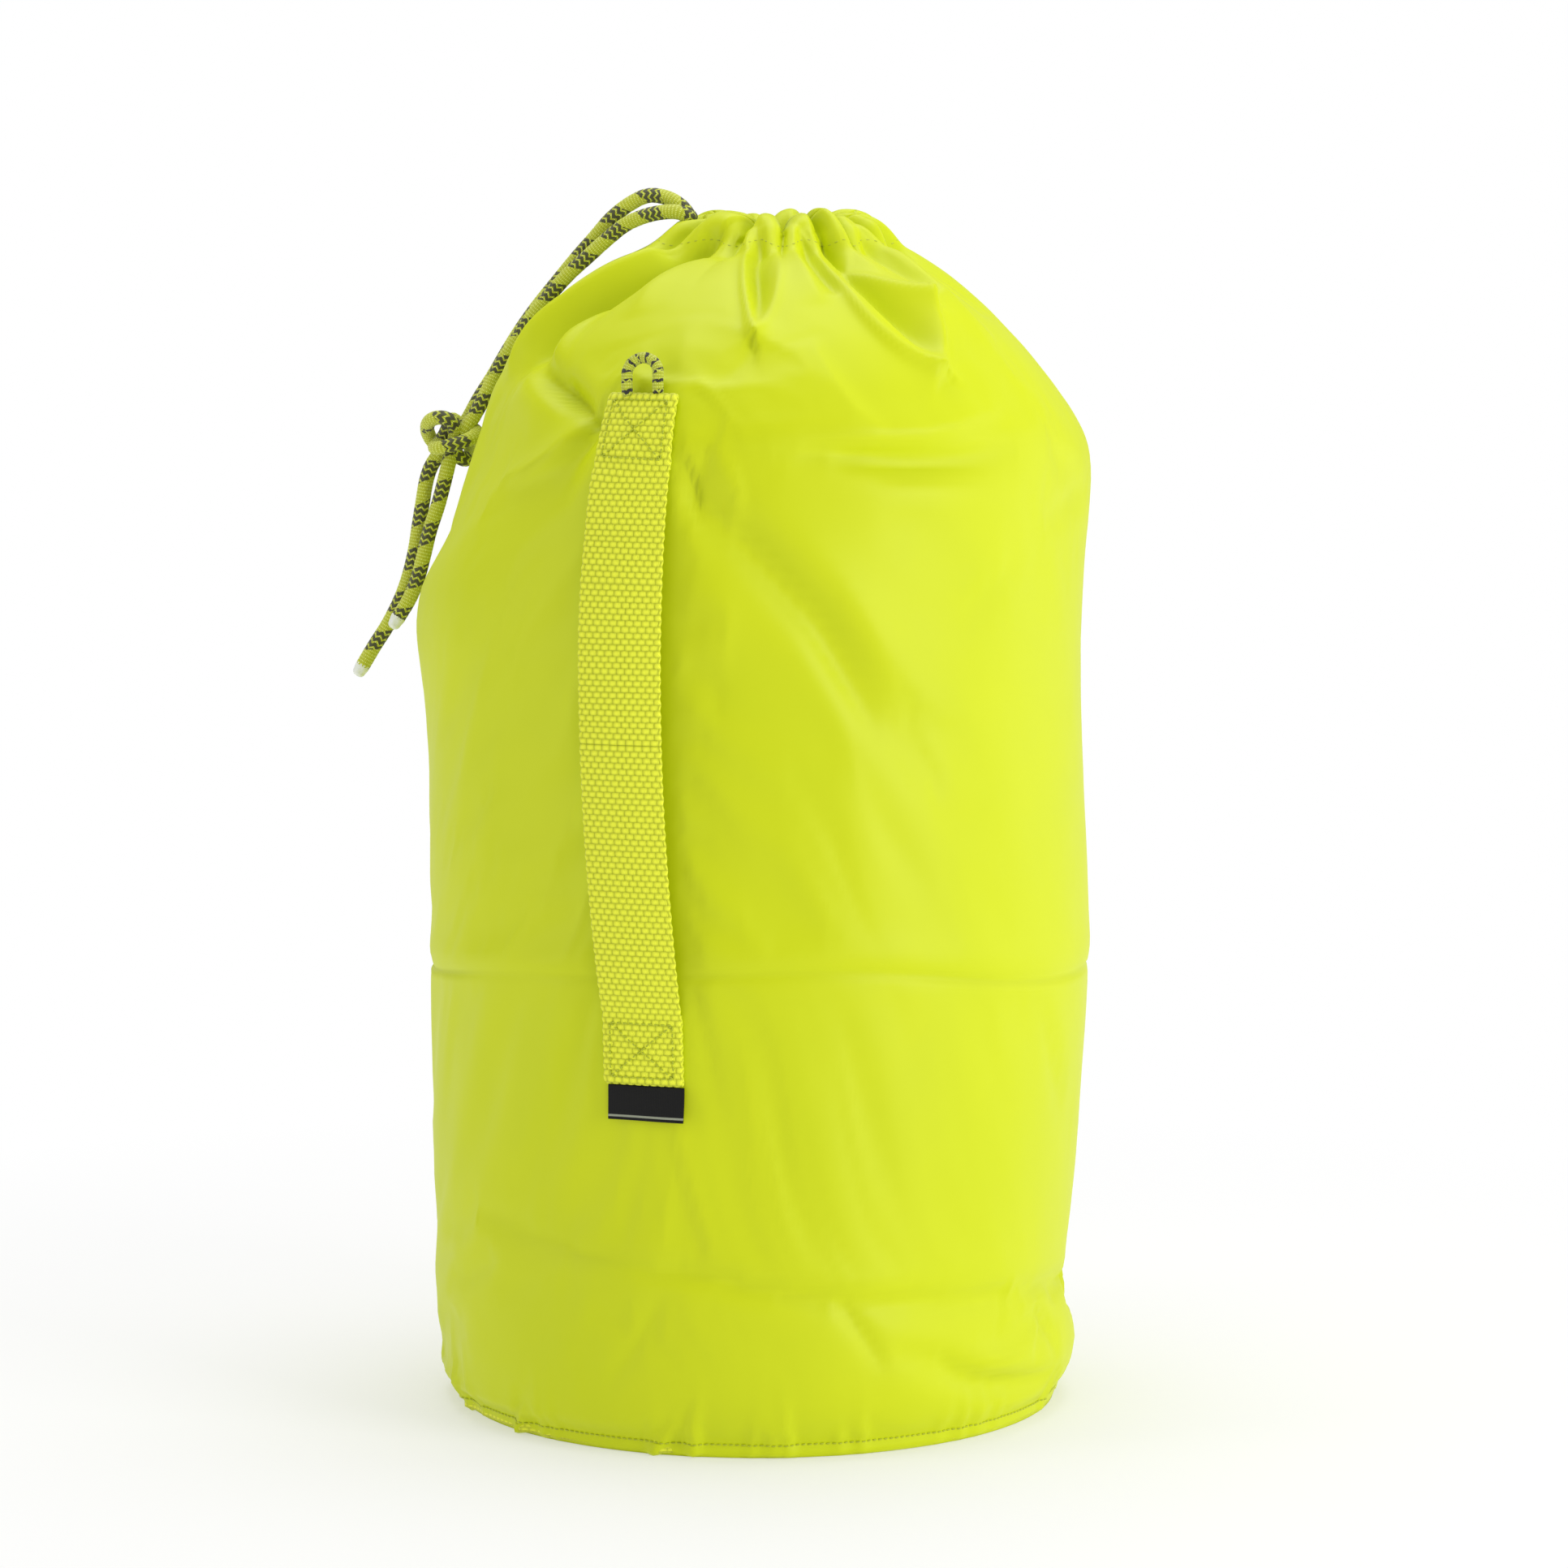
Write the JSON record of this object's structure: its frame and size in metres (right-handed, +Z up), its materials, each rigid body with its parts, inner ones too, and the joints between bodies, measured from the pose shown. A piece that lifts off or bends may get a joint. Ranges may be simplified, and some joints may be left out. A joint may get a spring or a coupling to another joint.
{
  "type": "rope storage bag",
  "caption": "Filled round drawstring rope bag with gathered mouth, knotted drawcord, webbing side handle, elastic loop and folded label.",
  "frame": {"origin": "centre of the base on the floor", "axes": "+Z up the bag towards its mouth, the handle faces -Y, the drawcord falls towards -X"},
  "size_m": [0.3582, 0.3357, 0.5875],
  "materials": {
    "coated_fabric": "coated plain-weave nylon with a soft sheen",
    "webbing": "coarse flat woven webbing, matte",
    "drawcord": "braided sheath with dark tracer patches",
    "elastic_cord": "braided elastic cord with dark flecks",
    "thread": "bonded sewing thread",
    "binding_tape": "plain woven tape",
    "melted_tip": "melted cord end",
    "label_cloth": "fine woven label, black"
  },
  "bodies": {
    "bag": {"body_panel": "coated_fabric", "base_panel": "coated_fabric", "base_binding_tape": "binding_tape", "base_topstitch": "thread", "side_seam_flap": "coated_fabric", "side_seam_stitching": "thread", "mouth_hem": "coated_fabric", "mouth_hem_stitching": "thread", "drawcord_in_hem": "drawcord", "handle_end_upper": "webbing", "handle_end_lower": "webbing", "handle_stitching_upper": "thread", "handle_stitching_lower": "thread", "handle_patch_upper": "coated_fabric", "handle_patch_lower": "coated_fabric"},
    "handle": {"handle_strap": "webbing"},
    "clip_loop": {"elastic_loop": "elastic_cord"},
    "label": {"folded_label": "label_cloth"},
    "drawcord": {"drawcord_strand_outer": "drawcord", "drawcord_strand_inner": "drawcord", "drawcord_knot": "drawcord"},
    "tail_long": {"drawcord_tail_long": "drawcord", "tail_tip_long": "melted_tip"},
    "tail_short": {"drawcord_tail_short": "drawcord", "tail_tip_short": "melted_tip"}
  },
  "joints": [
    {"name": "handle_pull", "type": "slide", "parent": "bag", "child": "handle", "axis": [0, -1, 0], "range_m": [0, 0.03]},
    {"name": "loop_tilt", "type": "hinge", "parent": "bag", "child": "clip_loop", "pos_m": [-0.00428, -0.1503, 0.49801], "axis": [1, 0, 0], "range_deg": [0, 110]},
    {"name": "label_flap", "type": "hinge", "parent": "bag", "child": "label", "pos_m": [0.001, -0.16108, 0.1761], "axis": [-1, 0, 0], "range_deg": [0, 90]},
    {"name": "drawcord_lift", "type": "hinge", "parent": "bag", "child": "drawcord", "pos_m": [-0.03026, -0.01042, 0.573], "axis": [-0.3256, 0.9455, 0], "range_deg": [0, 85]},
    {"name": "long_tail_swing", "type": "hinge", "parent": "drawcord", "child": "tail_long", "pos_m": [-0.15913, -0.02624, 0.454], "axis": [-0.3256, 0.9455, 0], "range_deg": [0, 60]},
    {"name": "short_tail_swing", "type": "hinge", "parent": "drawcord", "child": "tail_short", "pos_m": [-0.14896, -0.0312, 0.453], "axis": [-0.3256, 0.9455, 0], "range_deg": [0, 60]}
  ]
}
